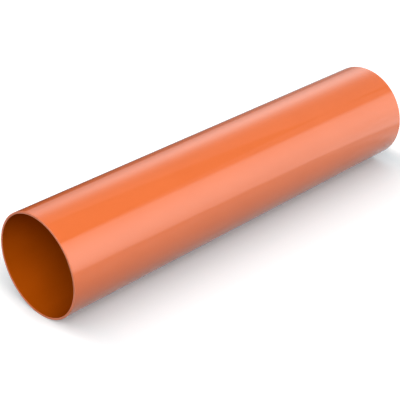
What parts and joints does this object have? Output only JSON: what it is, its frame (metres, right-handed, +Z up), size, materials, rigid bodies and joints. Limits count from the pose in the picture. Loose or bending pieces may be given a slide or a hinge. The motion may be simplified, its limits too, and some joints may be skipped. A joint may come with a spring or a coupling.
{
  "type": "pvc downpipe",
  "caption": "Straight thin-walled tube of glossy orange PVC, cut square and open at both ends, that carries rainwater down a wall between push-on fittings.",
  "frame": {"origin": "on the floor under the middle of the pipe, which lies on its side", "axes": "+X along the pipe's axis, +Z up; the axis is 55 mm above the floor, and both ends are alike"},
  "size_m": [0.5, 0.11, 0.11],
  "materials": {
    "orange_pvc": "gloss"
  },
  "bodies": {
    "root": {"pipe": "orange_pvc"}
  },
  "joints": []
}
